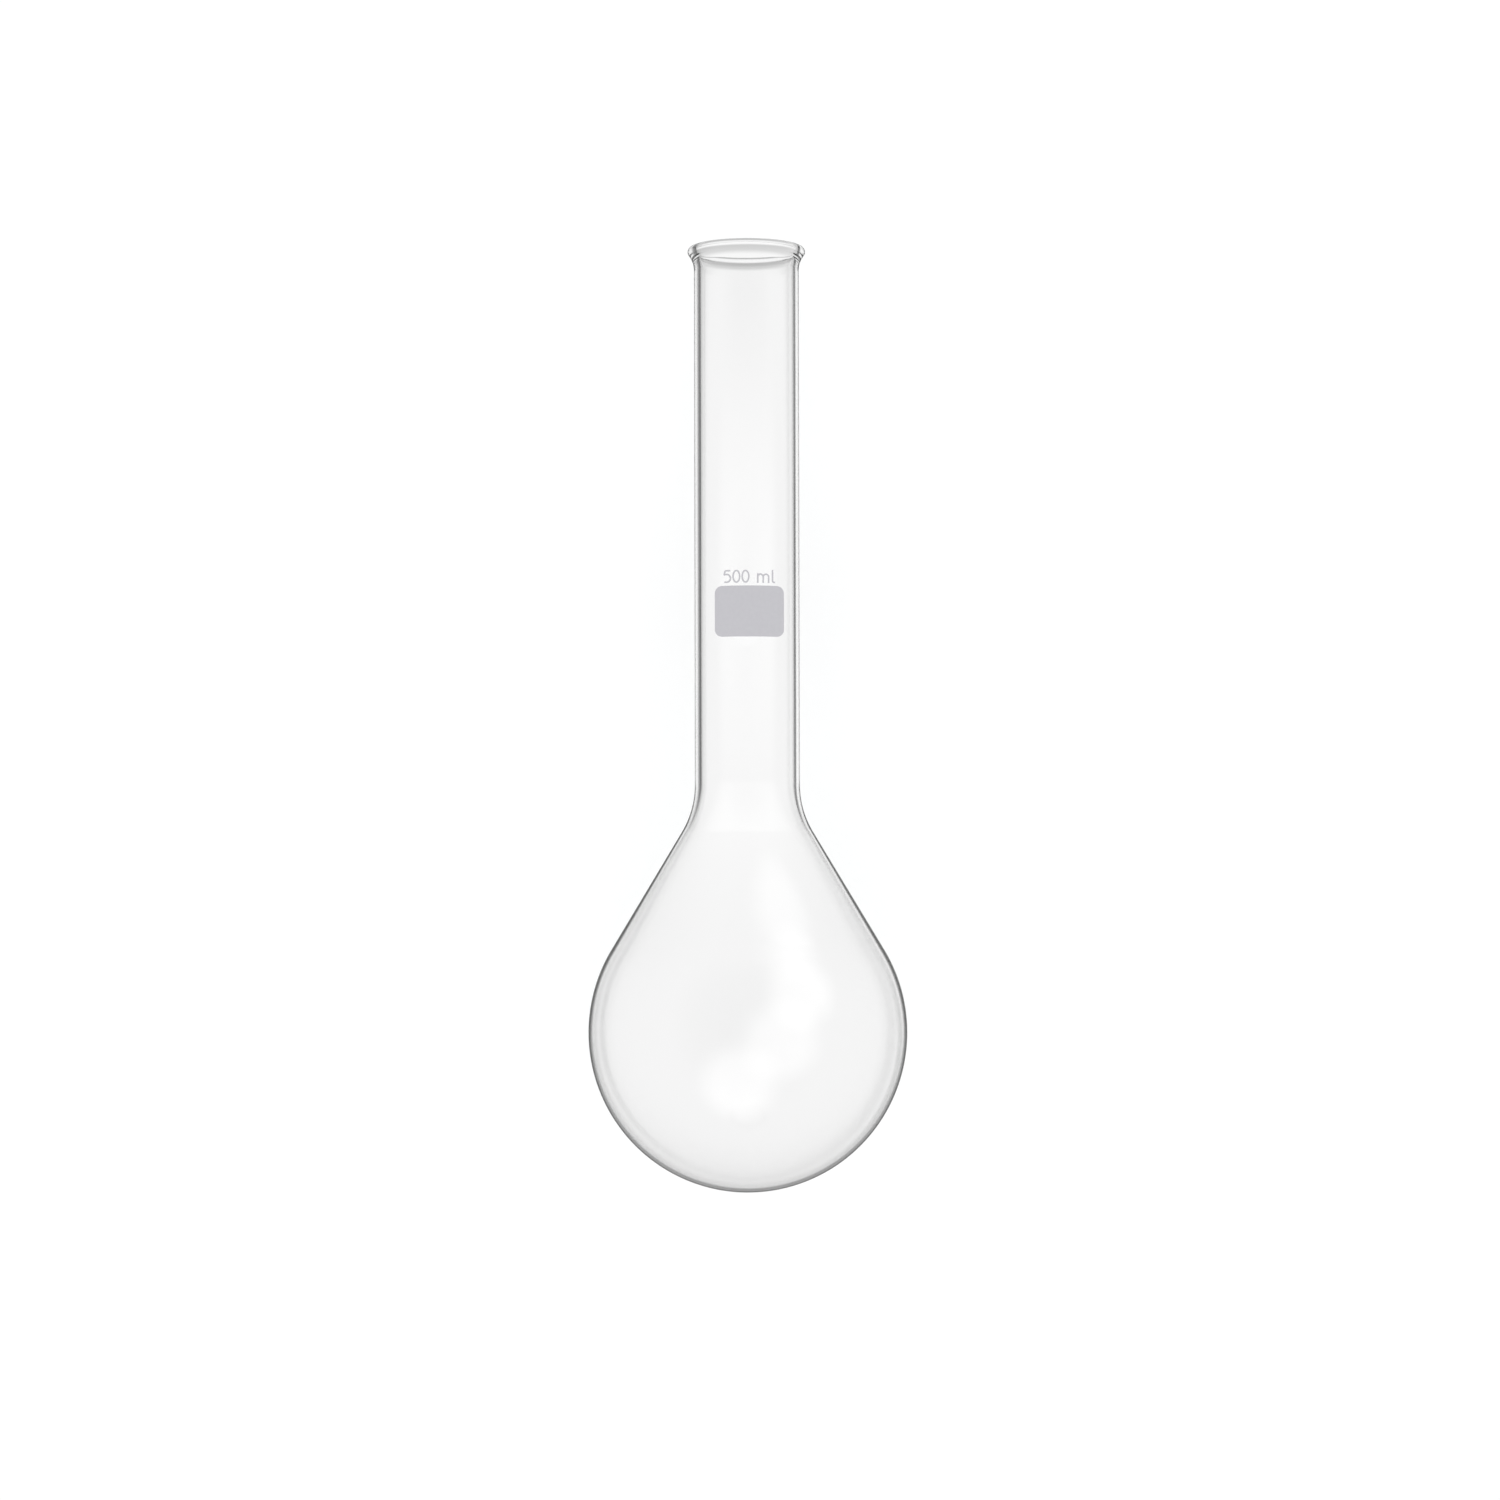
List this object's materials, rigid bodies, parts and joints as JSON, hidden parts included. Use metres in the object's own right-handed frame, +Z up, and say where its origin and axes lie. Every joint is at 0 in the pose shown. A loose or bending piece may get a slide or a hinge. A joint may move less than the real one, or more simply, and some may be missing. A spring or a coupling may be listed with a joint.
{
  "type": "kjeldahl flask",
  "caption": "Clear glass digestion flask with a round bulb, conical shoulder and long plain neck with a beaded rim, lying on its side; the neck carries an enamel writing panel.",
  "frame": {"origin": "on the surface the flask lies on, under the centre of its bounding box", "axes": "+Y along the flask's length towards the mouth, +Z up, +X across the flask; the glass's own axis lies in the YZ plane and slopes 7.41 degrees down towards the mouth"},
  "size_m": [0.1, 0.2972, 0.1],
  "materials": {
    "clear_glass": "polished",
    "enamel": "satin"
  },
  "bodies": {
    "root": {"flask": "clear_glass", "marking_panel": "enamel"}
  },
  "joints": []
}
